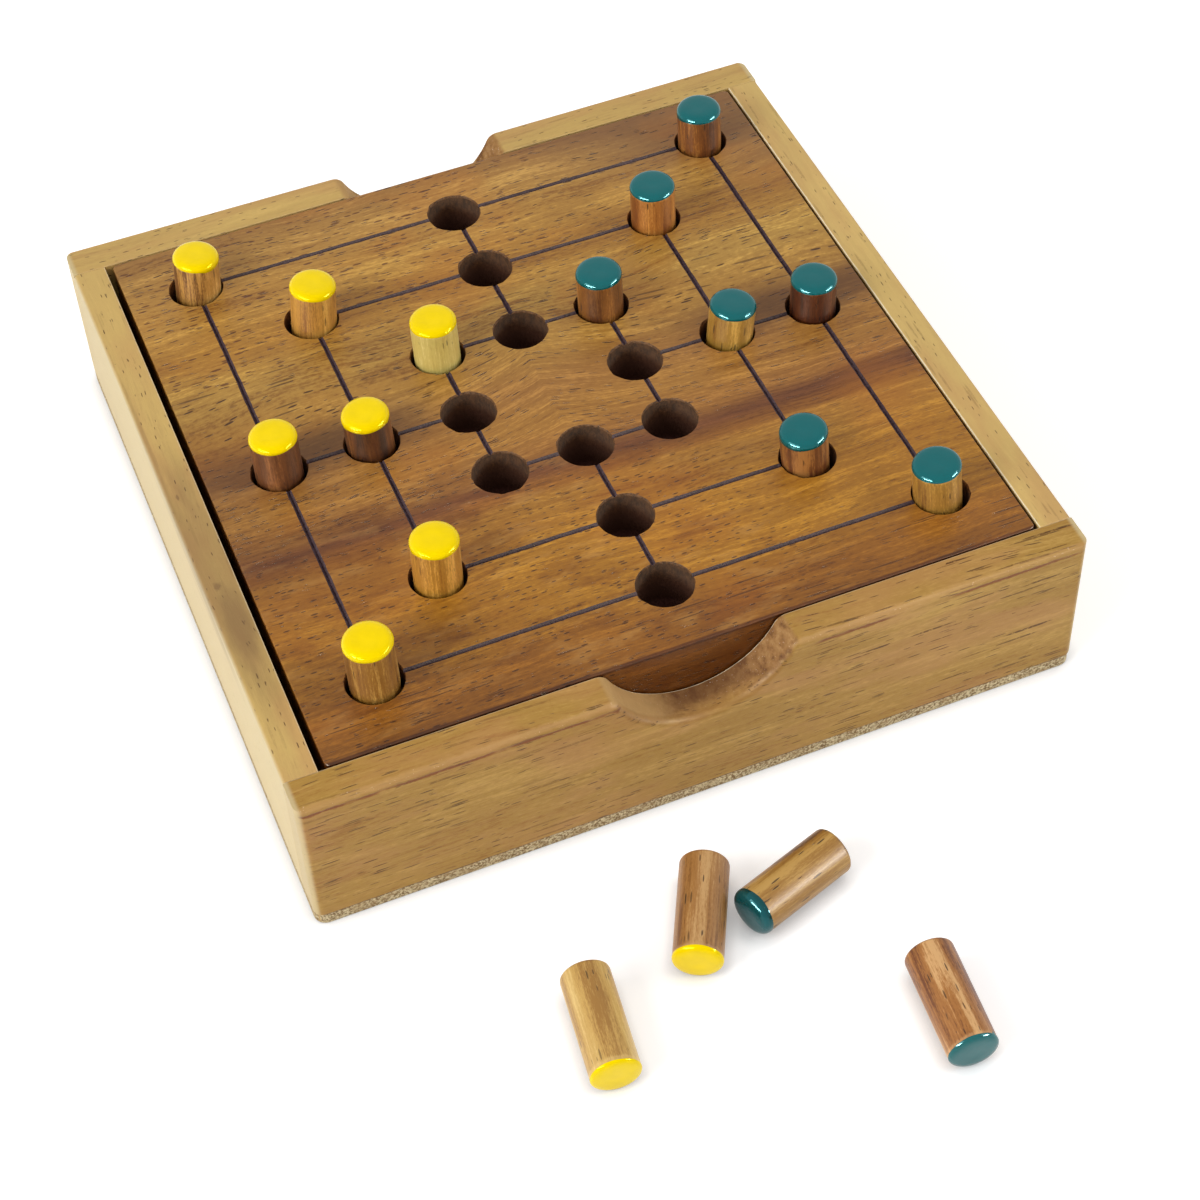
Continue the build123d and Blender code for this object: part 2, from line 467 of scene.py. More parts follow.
def railWood(name, turn, shift, edge, look, paler=0.0, stains=(), scoop=False, paintedOuterLight=0.0):
    material = startMaterial(name)
    large = millimetres()
    coords = alongGrain(large, turn, shift)
    colour, height, pores = woodColour(coords, look)
    if paler:
        colour = blend(paler, colour, tone(*look["pale"]))
    lines = dashes(coords, look["lines"])
    broken = ease(streaks(coords, 1.1, 2.0, 2.0, 3.0, 0.7), 0.36, 0.5, 0.3, 1.0)
    where = axesOf(large)
    flush = streaks(coords, 0.03, 0.1, 0.1, 3.0, 0.6, (17, 5, 0))
    colour = blend(ease(flush, 0.45, 0.66, 0.0, 0.38), colour, tone(*look["flush"]))
    lines = times(lines, ease(where[0], 8.0, 34.0, 0.5, 1.0))  # finer on the left half
    colour = stain(colour, times(lines, broken), look["lineShare"], look["lineTone"])
    colour = stain(colour, pores, 0.85, look["poreTone"])
    # the outer top edge is rubbed rough, with a broken line on the face under it
    inward = minus(edge["face"], unsigned(where[edge["axis"]]))
    down = minus(trayTop, where[2])
    gap = larger(larger(inward, down), 0.0)
    near = rubbed(coords, gap, edge["width"], 0.8)
    colour = stain(colour, near, edge["rub"], look["worn"])
    onFace = ease(inward, 0.6, 0.3)
    rim = unsigned(minus(down, edge["line"]))
    line = rubbed(coords, rim, 0.42, 1.2)
    patches = ease(streaks(coords, 0.12, 0.3, 0.3, 3.0, 0.6), 0.34, 0.52)
    line = times(times(line, patches), times(onFace, edge["scar"]))
    colour = blend(line, colour, tone(*look["scar"]))
    flecks = ease(streaks(large, 1.6, 1.6, 3.0, 2.0, 0.6), 0.66, 0.74)
    flecks = times(times(flecks, near), edge["scar"])
    colour = stain(colour, flecks, 0.7, look["fleck"])
    if paintedOuterLight:  # painted light: the outer side is drawn lighter where the lamp falls on it
        colour = stain(colour, ease(inward, 0.5, 0.0), paintedOuterLight, look["lit"])
    elif scoop:  # painted light on the ends of the long rails too
        ends = ease(unsigned(where[0]), look["endFrom"], look["endTo"])
        colour = stain(colour, ends, 0.75, look["lit"])
    # a bright worn nick with a painted highlight all along the sharp inner edge, down into the scoop too
    rise = minus(where[2], scoopLook["height"])
    off = calc("SQRT", plus(times(where[0], where[0]), times(rise, rise)))
    off = minus(off, scoopLook["radius"])
    top = calc("MINIMUM", down, unsigned(off)) if scoop else down
    inner = larger(unsigned(minus(inward, edge["thickness"])), top)
    for spot in stains:
        colour = blend(blotch(large, *spot), colour, tone(*look["grime"]))
    rough = scaled(height, 0.15, 0.42)
    if scoop:
        colour, height, mask = sandedScoop(large, where, inward, off, colour, height)
        pores = times(pores, minus(1.0, mask))
        rough = scaled(mask, 0.3, rough)
    inner = rubbed(coords, inner, 0.26, 0.5)
    nickAndHighlight = ease(down, 0.1, 1.0, edge["straightNickAndHighlight"], edge["nickAndHighlight"])
    colour = stain(colour, inner, nickAndHighlight, look["nickAndHighlight"])
    # painted shade on the inner face of the side rails, down in the gap beside the board
    inside = ease(inward, edge["thickness"] - 0.1, edge["thickness"] - 0.02)
    inside = times(inside, ease(down, 0.25, 0.9))
    colour = blend(times(inside, edge["inside"]), colour, look["inside"], "MULTIPLY")
    dent = minus(times(height, 0.5), pores)
    dent = minus(dent, times(line, 0.8))
    return finish(material, colour, dent, 0.12, rough)


frontEdge = {  # where a rail is rubbed, scarred and nicked with a painted highlight on its inner edge, and how much painted shade its inner face takes, in mm and shares; face is its outer side
    "axis": 1, "face": 66.65, "thickness": 6.2, "width": 1.2, "line": 1.5,
    "rub": 0.5, "scar": 0.9, "nickAndHighlight": 0.8, "straightNickAndHighlight": 0.25, "inside": 0.0,
}
backEdge = {
    **frontEdge, "width": 0.7, "line": 0.9,
    "rub": 0.3, "scar": 0.3, "nickAndHighlight": 0.4, "straightNickAndHighlight": 0.1,
}
sideEdge = {
    "axis": 0, "face": 65.7, "thickness": 5.6, "width": 0.6, "line": 0.9,
    "rub": 0.35, "scar": 0.35, "nickAndHighlight": 0.4, "straightNickAndHighlight": 0.4, "inside": 0.85,
}
rightEdge = {**sideEdge, "straightNickAndHighlight": 0.85}
leftStains = [  # centre, half width, half length and strength of each
    ((-62.6, -20.0, trayTop), 6.0, 40.0, 0.5), ((-62.4, -30.0, trayTop), 3.4, 12.0, 0.45),
    ((-63.4, -19.5, trayTop), 0.8, 1.2, 0.6), ((-63.8, 1.5, trayTop), 0.4, 0.9, 0.6),
    ((-65.2, 10.0, trayTop), 0.7, 25.0, 0.3),
]
leftAge = {"paler": 0.5, "paintedOuterLight": 0.85, "stains": leftStains}
frontPlace, backPlace = ((0, 0, 2.0), (12, 3, 7)), ((0, 0, -1.5), (160, 40, 3))  # turn and shift
leftPlace, rightPlace = ((0, 0, 90), (300, 9, 11)), ((0, 0, 90), (430, 21, 17))
railWoods = {
    "front_rail": railWood("frontRailWood", *frontPlace, frontEdge, railLook, scoop=True),
    "back_rail": railWood("backRailWood", *backPlace, backEdge, sideLook, paler=0.4, scoop=True),
    "left_rail": railWood("leftRailWood", *leftPlace, sideEdge, sideLook, **leftAge),
    "right_rail": railWood("rightRailWood", *rightPlace, rightEdge, sideLook, paler=0.6),
}
print("rail materials built")

# Rails: the end ones are full width with a sanded scoop, the side ones butt between them

endRail = {
    "width": 131.4, "thickness": 6.2, "foot": 2.5, "top": trayTop, "face": -66.65,
    "scoopRadius": 15.5, "scoopDepth": 10.0, "shoulderRadius": 2.3, "cornerRadius": 1.5,
    "frontEdge": 1.1, "backEdge": 0.6, "innerEdge": 0.18,
}
sideRail = {"thickness": 5.6, "length": 120.9, "outerEdge": 0.6, "innerEdge": 0.18, "endEdge": 0.1}


def turnArc(centre, angle, steps):  # sweep the selected point round a centre, in the plane of the face
    middle = [v * mm for v in centre]
    bpy.ops.mesh.spin(steps=steps, angle=radians(-angle), center=middle, axis=(0, 1, 0))


def endRailPiece(name, outerEdge):
    e = endRail
    half, rise = e["width"] / 2, e["scoopRadius"] - e["scoopDepth"]
    shoulderZ = e["top"] - e["shoulderRadius"]
    reach = e["scoopRadius"] + e["shoulderRadius"]
    shoulderX = (reach ** 2 - (e["top"] + rise - shoulderZ) ** 2) ** 0.5
    turn = degrees(atan2(shoulderX, e["top"] + rise - shoulderZ))  # how far each arc turns
    start = [v * mm for v in (-half, e["face"], e["foot"])]
    rail = startPiece(bpy.ops.mesh.primitive_plane_add, size=1 * mm, location=start)
    rail.name = name
    editMode()
    bpy.ops.mesh.select_mode(type="VERT")
    bpy.ops.mesh.select_all(action="SELECT")
    bpy.ops.mesh.merge(type="CENTER")  # one point at the foot of the outline, drawn up, along and round
    pull(dz=e["top"] - e["foot"])
    pull(dx=half - shoulderX)
    turnArc((-shoulderX, e["face"], shoulderZ), turn, 8)
    turnArc((0, e["face"], e["top"] + rise), -2 * turn, 40)
    turnArc((shoulderX, e["face"], shoulderZ), turn, 8)
    pull(dx=half - shoulderX)
    pull(dz=e["foot"] - e["top"])
    bpy.ops.mesh.select_all(action="SELECT")
    bpy.ops.mesh.remove_doubles(threshold=0.00001)
    bpy.ops.mesh.edge_face_add()
    pull(dy=e["thickness"])
    bpy.ops.mesh.select_all(action="SELECT")
    bpy.ops.mesh.normals_make_consistent(inside=False)

    def onFace(p):
        return abs(p.y - e["face"]) < touch

    def atCorner(a, b, d):
        return upright(d) and onFace(a) and onFace(b) and abs(a.x) > half - touch

    def overFoot(a, b):
        return min(a.z, b.z) > e["foot"] + touch

    def outerTop(a, b, d):
        return onFace(a) and onFace(b) and overFoot(a, b) and abs(d.x) > 0.02 and not upright(d)

    def innerTop(a, b, d):
        return max(abs(a.y - inner), abs(b.y - inner)) < touch and overFoot(a, b) and abs(d.x) > 0.02

    inner = e["face"] + e["thickness"]
    roundEdges(rail, atCorner, e["cornerRadius"], 5)
    roundEdges(rail, outerTop, outerEdge, 5)
    roundEdges(rail, innerTop, e["innerEdge"], 2)
    bpy.ops.mesh.select_all(action="DESELECT")
    objectMode()
    return rail


def sideRailPiece(name):
    s = sideRail
    outside, middle = -endRail["width"] / 2, (endRail["foot"] + endRail["top"]) / 2
    size = (s["thickness"], s["length"], endRail["top"] - endRail["foot"])
    rail = startBlock(name, size, (-(endRail["width"] - s["thickness"]) / 2, 0, middle))

    def onTop(a, d):
        return abs(d.y) > 0.99 and a.z > middle

    def atEnd(a, d):
        return abs(d.y) < 0.5 and abs(a.y) > s["length"] / 2 - touch

    editMode()
    roundEdges(rail, lambda a, b, d: onTop(a, d) and a.x < outside + touch, s["outerEdge"], 4)
    roundEdges(rail, lambda a, b, d: onTop(a, d) and a.x >= outside + 1, s["innerEdge"], 2)
    roundEdges(rail, lambda a, b, d: atEnd(a, d), s["endEdge"], 1)
    objectMode()
    return rail


def halfTurn(piece):
    piece.data.transform(Matrix.Rotation(pi, 4, "Z"))


frontRail = endRailPiece("frontRail", endRail["frontEdge"])
backRail = endRailPiece("backRail", endRail["backEdge"])
leftRail = sideRailPiece("leftRail")
rightRail = sideRailPiece("rightRail")
halfTurn(backRail)
halfTurn(rightRail)
for node, rail in zip(railWoods, (frontRail, backRail, leftRail, rightRail)):
    dress(rail, railWoods[node])
    smoothen(rail)
    handIn(rail, "tray", "rail_wood", node)
print("rails made")

# Plywood base and the strips that carry the board

basePanel = {"width": 131.4, "depth": 133.3, "thickness": 2.5, "corner": 2.0, "edge": 0.25}
plyLook = {
    **railLook, "light": (206, 174, 118), "middle": (182, 150, 98), "dark": (150, 116, 70),
    "ply": (112, 80, 46), "straw": (126, 98, 58), "paleStraw": (216, 199, 158), "tuft": (166, 136, 90),
    "glue": (92, 56, 32), "flatX": 65.2, "flatY": 66.15,  # beyond these it is the sawn edge
}
bearerLook = {
    **railLook, "light": (202, 166, 104), "middle": (180, 140, 80), "dark": (150, 108, 56),
    "saw": (150, 112, 68), "speck": (110, 74, 44),
}
bearerStrip = {"width": 5.0, "height": 12.0, "length": 120.9, "x": -57.6, "edge": 0.4, "endEdge": 0.12}


def plyWood():
    material = startMaterial("basePly")
    large = millimetres()
    coords = alongGrain(large, shift=(80, 60, 20))
    look = plyLook
    colour, height, pores = woodColour(coords, look)
    colour = stain(colour, pores, 0.6, look["ply"])
    where = axesOf(large)
    beyond = larger(minus(unsigned(where[0]), look["flatX"]), minus(unsigned(where[1]), look["flatY"]))
    edge = calc("GREATER_THAN", beyond, 0.0)
    crumbs = noise(large, 2.3, 3.0, 0.7)
    tufts = streaks(large, 0.25, 0.25, 0.8, 3.0, 0.6)
    straw = blend(ease(crumbs, 0.4, 0.6), tone(*look["straw"]), tone(*look["paleStraw"]))
    straw = blend(ease(tufts, 0.45, 0.65, 0.0, 0.5), straw, tone(*look["tuft"]))
    colour = blend(edge, colour, straw)
    glue = rubbed(large, minus(basePanel["thickness"], where[2]), 0.3, 0.7)
    seam = ease(streaks(large, 0.03, 0.03, 0.03, 2.0), 0.4, 0.55)
    colour = stain(colour, times(glue, edge), scaled(seam, 0.4, 0.45), look["glue"])
    tall = plus(times(crumbs, edge), times(height, 0.4))
    return finish(material, colour, tall, 0.3, scaled(crumbs, 0.2, 0.6))


def bearerWood():
    material = startMaterial("bearerWood")
    large = millimetres()
    coords = alongGrain(large, (0, 0, 90), (210, 33, 5))
    look = bearerLook
    colour, height, pores = woodColour(coords, look)
    saw = streaks(large, 0.6, 2.4, 0.1, 3.0, 0.6)
    colour = blend(ease(saw, 0.4, 0.7, 0.0, 0.25), colour, tone(*look["saw"]))
    colour = stain(colour, pores, 0.7, look["speck"])
    return finish(material, colour, plus(saw, height), 0.15, scaled(saw, 0.2, 0.6))


thick = basePanel["thickness"]
base = startBlock("basePanel", (basePanel["width"], basePanel["depth"], thick), (0, 0, thick / 2))
editMode()
roundEdges(base, lambda a, b, d: upright(d), basePanel["corner"], 6)
roundEdges(base, lambda a, b, d: level(0, a, d), basePanel["edge"], 2)
roundEdges(base, lambda a, b, d: level(thick, a, d), basePanel["edge"] / 2, 1)
objectMode()
dress(base, plyWood())
smoothen(base)
handIn(base, "tray", "base_ply", "base_panel")

bearerFinish, b = bearerWood(), bearerStrip
stripSize, stripEnd = (b["width"], b["length"], b["height"]), b["length"] / 2 - touch


def alongTop(p, q, d):  # the upper edge that shows inside the tray
    return level(thick + b["height"], p, d) and abs(d.y) > 0.99 and p.x > b["x"]


for side in ("left", "right"):
    strip = startBlock(side + "Bearer", stripSize, (b["x"], 0, thick + b["height"] / 2))
    editMode()
    roundEdges(strip, alongTop, b["edge"], 3)
    roundEdges(strip, lambda p, q, d: abs(d.y) < 0.5 and abs(p.y) > stripEnd, b["endEdge"], 1)
    objectMode()
    if side == "right":
        halfTurn(strip)
    dress(strip, bearerFinish)
    smoothen(strip)
    handIn(strip, "tray", "bearer_wood", side + "_bearer")
print("base and bearers made")

# Finishes of the board: planed top, drilled bores, scored lines, torn rims

boardLook = {
    "light": (196, 146, 78), "middle": (158, 112, 54), "dark": (118, 72, 28),
    "figure": 0.55, "fibre": 1.05, "drift": 7.0, "poreTone": (50, 14, 0),
    "pores": {"Length": 3.2, "Spacing": 0.36, "Share": 0.64, "Size": 0.27, "Clusters": 0.7},
    "hairs": {"Length": 11.0, "Spacing": 0.45, "Share": 0.4, "Size": 0.3, "Clusters": 0.9},
    "pits": {"Length": 1.9, "Spacing": 0.48, "Share": 0.5, "Size": 0.28, "Clusters": 0.9},
    "gouges": {"Length": 2.5, "Spacing": 0.62, "Share": 0.42, "Size": 0.31, "Clusters": 1.0},
    # tone across the grain, from the front edge to the back edge, as a share of the board's depth
    "bands": [
        (0.00, (129, 78, 18)), (0.05, (136, 83, 20)), (0.12, (155, 103, 26)), (0.22, (159, 106, 28)),
        (0.30, (157, 106, 36)), (0.325, (132, 80, 26)), (0.35, (108, 60, 28)), (0.385, (144, 94, 38)),
        (0.44, (155, 106, 42)), (0.50, (147, 99, 42)), (0.60, (161, 117, 48)), (0.66, (170, 129, 57)),
        (0.76, (158, 110, 38)), (0.85, (170, 124, 52)), (0.95, (164, 120, 55)), (1.00, (146, 103, 48)),
    ],
    "flare": (94, 54, 28), "corner": (120, 80, 46), "amber": (168, 98, 22), "gougeTone": (78, 30, 10),
    # the sawn-side tones below are end grain with painted shade, then painted shade on the right and along
    # the front gap
    "blot": (0.62, 0.5, 0.42, 1.0), "leftShade": (0.66, 0.6, 0.56, 1), "side": (0.6, 0.5, 0.44, 1.0),
    "rightSideShadow": (0.45, 0.4, 0.38, 1), "seam": (0.4, 0.28, 0.24, 1.0),
}
cutLook = {  # tones of what drill and scribe left
    "char": (58, 34, 18), "fuzz": (98, 62, 34), "deep": (80, 50, 38), "bareFoot": (120, 80, 72),
    "tornDark": (66, 38, 20), "torn": (122, 80, 42), "tornFresh": (206, 170, 124),
    "ink": (42, 26, 34), "wornInk": (74, 54, 64), "inkFleck": (180, 146, 116),
}


def archedGrain(coords):  # round the middle line the fibres climb to the centre and fall away again
    where = axesOf(coords)
    aside = unsigned(where[0])
    climb = calc("DIVIDE", aside, scaled(aside, 1 / 30, 1.0))
    nearMiddle = ease(unsigned(minus(where[1], 1.0)), 24.0, 2.0)
    lift = times(times(climb, nearMiddle), 0.4)
    lift = addNode("ShaderNodeCombineXYZ", {1: lift}).outputs[0]
    return vectorCalc("ADD", coords, lift)


def boardColour(large, coords):
    look = boardLook
    coords = archedGrain(coords)
    colour, height, pores = woodColour(coords, look)
    where = axesOf(large)
    wave = streaks(large, 0.02, 0.02, 0.05, 2.0)
    y = plus(where[1], scaled(wave, 6.0, -3.0))
    share = scaled(y, 1 / 120, 0.5)
    bands = ramp(share, [(place, tone(*rgb)) for place, rgb in look["bands"]])
    ratio = blend(1.0, bands, tone(*look["middle"]), "DIVIDE")
    colour = blend(1.0, colour, ratio, "MULTIPLY")
    # a dark flare along the middle line, strongest towards both ends
    low = ease(unsigned(minus(y, 3.5)), 7.0, 1.0)
    ends = ease(unsigned(minus(where[0], 4.0)), 17.0, 34.0)
    colour = stain(colour, times(low, ends), 0.7, look["flare"])
    back = ease(scaled(where[0], 0.6, where[1]), 58.0, 82.0)
    colour = stain(colour, back, 0.75, look["corner"])
    glow = ease(streaks(coords, 0.035, 0.06, 0.05, 3.0), 0.48, 0.68)
    colour = stain(colour, glow, 0.3, look["amber"])
    # long hair lines in two bands, fewer pores in front of the streak
    lines = dashes(coords, look["hairs"])
    bandA = ease(unsigned(minus(y, 17.0)), 13.0, 7.0)
    bandB = ease(unsigned(minus(y, -55.0)), 9.0, 4.0)
    lined = times(lines, larger(bandA, bandB))
    fewer = ease(y, -20.0, -12.0, 0.45, 1.0)
    marks = larger(times(pores, fewer), times(lined, 0.8))
    # blotches and small open pits in the front left
    frontLeft = times(ease(scaled(where[0], 0.3, y), -8.0, -22.0), ease(where[0], 42.0, 12.0))
    blot = ease(streaks(large, 0.07, 0.17, 0.1, 4.0, 0.62), 0.48, 0.66)
    colour = blend(times(blot, scaled(frontLeft, 0.5, 0.2)), colour, look["blot"], "MULTIPLY")
    pale = ease(streaks(large, 0.1, 0.3, 0.1, 4.0, 0.62, (31, 7, 0)), 0.5, 0.7)
    colour = blend(times(pale, times(frontLeft, 0.3)), colour, tone(*look["light"]))
    pits = dashes(coords, look["pits"])
    marks = larger(marks, times(pits, frontLeft))
    backLeft = times(ease(scaled(where[0], -0.2, y), 20.0, 34.0), ease(where[0], 34.0, 6.0))
    gouges = dashes(coords, look["gouges"])
    gouges = times(gouges, backLeft)
    colour = stain(colour, marks, 0.92, look["poreTone"])
    colour = stain(colour, gouges, 0.9, look["gougeTone"])
    leftDark = ease(scaled(y, 0.5, where[0]), -34.0, -66.0)
    colour = blend(times(leftDark, 0.6), colour, look["leftShade"], "MULTIPLY")
    # the sawn sides are darker than the planed top, partly as end grain and partly as painted shade, with
    # painted shadow on the right part and painted shade along the front gap
    outX = minus(unsigned(minus(where[0], 0.4)), 59.1)
    outY = minus(unsigned(where[1]), 60.0)
    side = times(ease(larger(outX, outY), -0.3, 0.14), ease(where[2], 29.52, 29.0))
    colour = blend(side, colour, look["side"], "MULTIPLY")
    # painted shadow over the right part of the sides
    right = ease(where[0], -6.0, 14.0, 0.0, 0.5)
    colour = blend(times(side, right), colour, look["rightSideShadow"], "MULTIPLY")
    # painted shade along the top of the front side, in the gap before the front rail
    seam = times(ease(outY, -0.5, -0.2), ease(where[1], 0.0, -1.0))
    colour = blend(times(seam, ease(where[2], 28.6, 29.1)), colour, look["seam"], "MULTIPLY")
    return colour, height, larger(marks, gouges)


def boardWood():
    material = startMaterial("boardWood")
    large = millimetres()
    colour, height, marks = boardColour(large, alongGrain(large))
    dent = minus(times(height, 0.4), marks)
    return finish(material, colour, dent, 0.05, scaled(height, 0.2, 0.26), Specular_IOR_Level=0.4)


def boreWall():  # drilled and scorched: brown fuzz near the mouth, darker below
    material = startMaterial("boreWall")
    large = millimetres()
    fuzz = streaks(large, 1.2, 1.2, 0.7, 4.0, 0.65)
    depth = minus(trayTop, axesOf(large)[2])
    colour = blend(ease(fuzz, 0.3, 0.7), tone(*cutLook["char"]), tone(*cutLook["fuzz"]))
    colour = blend(ease(depth, 1.0, 6.0), colour, tone(*cutLook["deep"]))
    colour = blend(ease(depth, 8.2, 9.8), colour, tone(*cutLook["bareFoot"]))
    return finish(material, colour, fuzz, 0.2, scaled(fuzz, 0.1, 0.75))


def rimFibre():  # torn fibres where the drill broke in
    material = startMaterial("rimFibre")
    torn = noise(millimetres(), 1.6, 4.0, 0.75)
    colour = blend(ease(torn, 0.35, 0.6), tone(*cutLook["tornDark"]), tone(*cutLook["torn"]))
    colour = blend(ease(torn, 0.64, 0.72), colour, tone(*cutLook["tornFresh"]))
    return finish(material, colour, torn, 0.3, scaled(torn, 0.3, 0.4))


def scoredLine():  # burnt and inked, dull violet grey with a broken skin
    material = startMaterial("scoredLine")
    large = millimetres()
    grit = noise(large, 2.0, 5.0, 0.7)
    colour = blend(ease(grit, 0.3, 0.7), tone(*cutLook["ink"]), tone(*cutLook["wornInk"]))
    flecks = ease(noise(large, 3.0, 2.0, 0.6), 0.70, 0.76)
    colour = stain(colour, flecks, 0.6, cutLook["inkFleck"])
    return finish(material, colour, grit, 0.2, scaled(grit, 0.3, 0.45))


boardFinishes = [boardWood(), boreWall(), scoredLine(), rimFibre()]
onBore, onLine, onRim = 1, 2, 3  # their places in that list
print("board materials built")

# The lift-out board

board = {
    "width": 118.5, "depth": 120.3, "thickness": 15.0, "x": 0.4, "bottom": 14.5, "top": trayTop,
    "corner": 0.9, "topEdge": 0.25, "bottomEdge": 0.4,
    "gridX": 1.2, "gridY": 0.5, "rings": {"outer": 48.0, "middle": 32.0, "inner": 15.0},
    "boreRadius": 4.65, "boreSides": 56, "flare": 0.05, "chips": 0.2, "torn": 0.03,
    "toolWall": 10, "toolTop": 0.45,
    "lineWidth": 0.88, "lineDepth": 0.5, "lineWander": 0.02, "lineRag": 0.05,
    "lineUneven": 0.15, "lineStep": 0.8, "lineGap": 6.0, "seed": 7,
}
sideSteps = {
    "left": (-1, 0), "back": (0, 1), "right": (1, 0), "front": (0, -1),
    "back left": (-1, 1), "back right": (1, 1), "front right": (1, -1), "front left": (-1, -1),
}
boreDepths = {
    ("outer", "back left"): 11.1, ("middle", "back left"): 10.3, ("inner", "back left"): 9.9,
    ("middle", "left"): 11.3, ("outer", "left"): 9.9, ("middle", "front left"): 9.5,
    ("outer", "front left"): 8.3, ("outer", "back right"): 10.5, ("middle", "back right"): 10.3,
    ("inner", "back right"): 10.3, ("outer", "right"): 11.7, ("middle", "right"): 12.1,
    ("middle", "front right"): 11.7, ("outer", "front right"): 11.3, ("middle", "front"): 12.2,
    ("inner", "front left"): 11.9, ("outer", "back"): 11.7, ("inner", "front right"): 11.4,
    ("outer", "front"): 11.2, ("inner", "left"): 10.9, ("middle", "back"): 10.7,
    ("inner", "right"): 10.4, ("inner", "back"): 10.2, ("inner", "front"): 9.9,
}
chance = Random(board["seed"])


def boreCentre(ring, side):
    reach = board["rings"][ring]
    return board["gridX"] + reach * sideSteps[side][0], board["gridY"] + reach * sideSteps[side][1]


def boreTool():  # a cutter with its foot at the origin, a straight wall and a slightly flared mouth
    wall, flare = board["toolWall"], board["flare"] / board["boreRadius"]
    tool = startRod(board["boreSides"], board["boreRadius"], wall, wall / 2)
    editMode()
    pickFaces(tool, lambda middle, normal: normal.z > 0.9)
    for rise, wider in ((0.2, 1 + 0.35 * flare), (0.2, 1 + 1.3 * flare), (0.4, 1.06)):
        pull(dz=rise)
        widen(wider)
    objectMode()
    dress(tool, *boardFinishes)
    for face in tool.data.polygons:
        face.material_index = onRim if face.center.z > (wall + touch) * mm else onBore
    return tool


def roughenMouth(tool):  # the drill tears the rim: small waves all round and a few chips
    chipPlaces = [  # heading and half width in radians, then depth as a share
        (chance.uniform(0, 2 * pi), chance.uniform(0.12, 0.3), chance.uniform(0.25, 1.0))
        for _ in range(chance.randint(2, 5))
    ]
    for point in tool.data.vertices:
        if point.co.z < (board["toolWall"] + 0.1) * mm or point.co.xy.length < 1 * mm:
            continue
        angle = atan2(point.co.y, point.co.x)
        torn = chance.uniform(-board["torn"], board["torn"])
        for at, wide, deep in chipPlaces:
            away = abs((angle - at + pi) % (2 * pi) - pi)
            torn += board["chips"] * deep * max(0.0, 1 - away / wide)
        point.co.xy *= 1 + torn / board["boreRadius"]


def lineTool(start, end):  # a four-sided bar, its lower half the V of the scribe
    (x0, y0), (x1, y1) = start, end
    along = Vector((x1 - x0, y1 - y0, 0))
    length = along.length - board["lineGap"]  # it starts and ends inside the bores
    middle = Vector(((x0 + x1) / 2, (y0 + y1) / 2, board["top"]))
    tool = startRod(4, 1, length, turn=(0, pi / 2, 0))
    editMode()
    pickEdges(tool, lambda a, b, d: abs(d.x) > 0.99)
    bpy.ops.mesh.subdivide(number_cuts=max(4, int(length / board["lineStep"])))
    objectMode()
    rag, uneven = board["lineRag"], board["lineUneven"]
    wander, fatter = 0.0, 0.0
    rings = {}
    for point in tool.data.vertices:
        rings.setdefault(round(point.co.x / mm, 2), []).append(point)
    for place in sorted(rings):  # each step keeps some of the last one's error
        wander = 0.8 * wander + chance.uniform(-1, 1) * board["lineWander"]
        fatter = 0.5 * fatter + chance.uniform(-1, 1) * rag
        for point in rings[place]:
            point.co.y *= board["lineWidth"] / 2 * (1 + fatter + chance.uniform(-rag, rag))
            point.co.z *= board["lineDepth"] * (1 + chance.uniform(-uneven, uneven))
            point.co.y += wander * mm
    tool.data.transform(Matrix.Translation(middle * mm) @ Matrix.Rotation(atan2(along.y, along.x), 4, "Z"))
    dress(tool, *boardFinishes)
    for face in tool.data.polygons:
        face.material_index = onLine
    return tool


def cutAway(piece, tools):
    pickOnly(*tools)
    bpy.ops.object.join()
    joined = bpy.context.active_object
    cut = piece.modifiers.new("cut", "BOOLEAN")
    cut.operation, cut.solver, cut.object = "DIFFERENCE", "EXACT", joined
    applyLast(piece, cut)
    bpy.data.objects.remove(joined)


boardSize = (board["width"], board["depth"], board["thickness"])
boardMiddle = (board["x"], 0, (board["top"] + board["bottom"]) / 2)
playingBoard = startBlock("playingBoard", boardSize, boardMiddle)
editMode()
roundEdges(playingBoard, lambda a, b, d: upright(d), board["corner"], 4)
roundEdges(playingBoard, lambda a, b, d: level(board["top"], a, d), board["topEdge"], 4)
roundEdges(playingBoard, lambda a, b, d: level(board["bottom"], a, d), board["bottomEdge"], 2)
objectMode()
dress(playingBoard, *boardFinishes)

lines = []
aroundRing = ["back left", "back", "back right", "right", "front right", "front", "front left", "left"]
for ring in board["rings"]:
    for first, second in zip(aroundRing, aroundRing[1:] + aroundRing[:1]):
        lines.append(lineTool(boreCentre(ring, first), boreCentre(ring, second)))
for side in ("left", "back", "right", "front"):
    lines.append(lineTool(boreCentre("inner", side), boreCentre("middle", side)))
    lines.append(lineTool(boreCentre("middle", side), boreCentre("outer", side)))
cutAway(playingBoard, lines)

pattern = boreTool()
bores = []
for (ring, side), depth in boreDepths.items():
    tool = copyOf(pattern, "boreCutter")
    roughenMouth(tool)
    x, y = boreCentre(ring, side)
    for point in tool.data.vertices:  # the foot goes down to this bore's own depth
        if point.co.z < 1 * mm:
            point.co.z = (board["toolWall"] + board["toolTop"] - depth) * mm
    foot = board["top"] - board["toolWall"] - board["toolTop"]
    tool.data.transform(Matrix.Translation(Vector((x, y, foot)) * mm))
    bores.append(tool)
bpy.data.objects.remove(pattern)
cutAway(playingBoard, bores)
smoothen(playingBoard, 40)
handIn(playingBoard, "board", "board_wood", "playing_board")
print("board made", len(playingBoard.data.polygons), "faces")

# Peg woods, each stick from another length, and the enamels

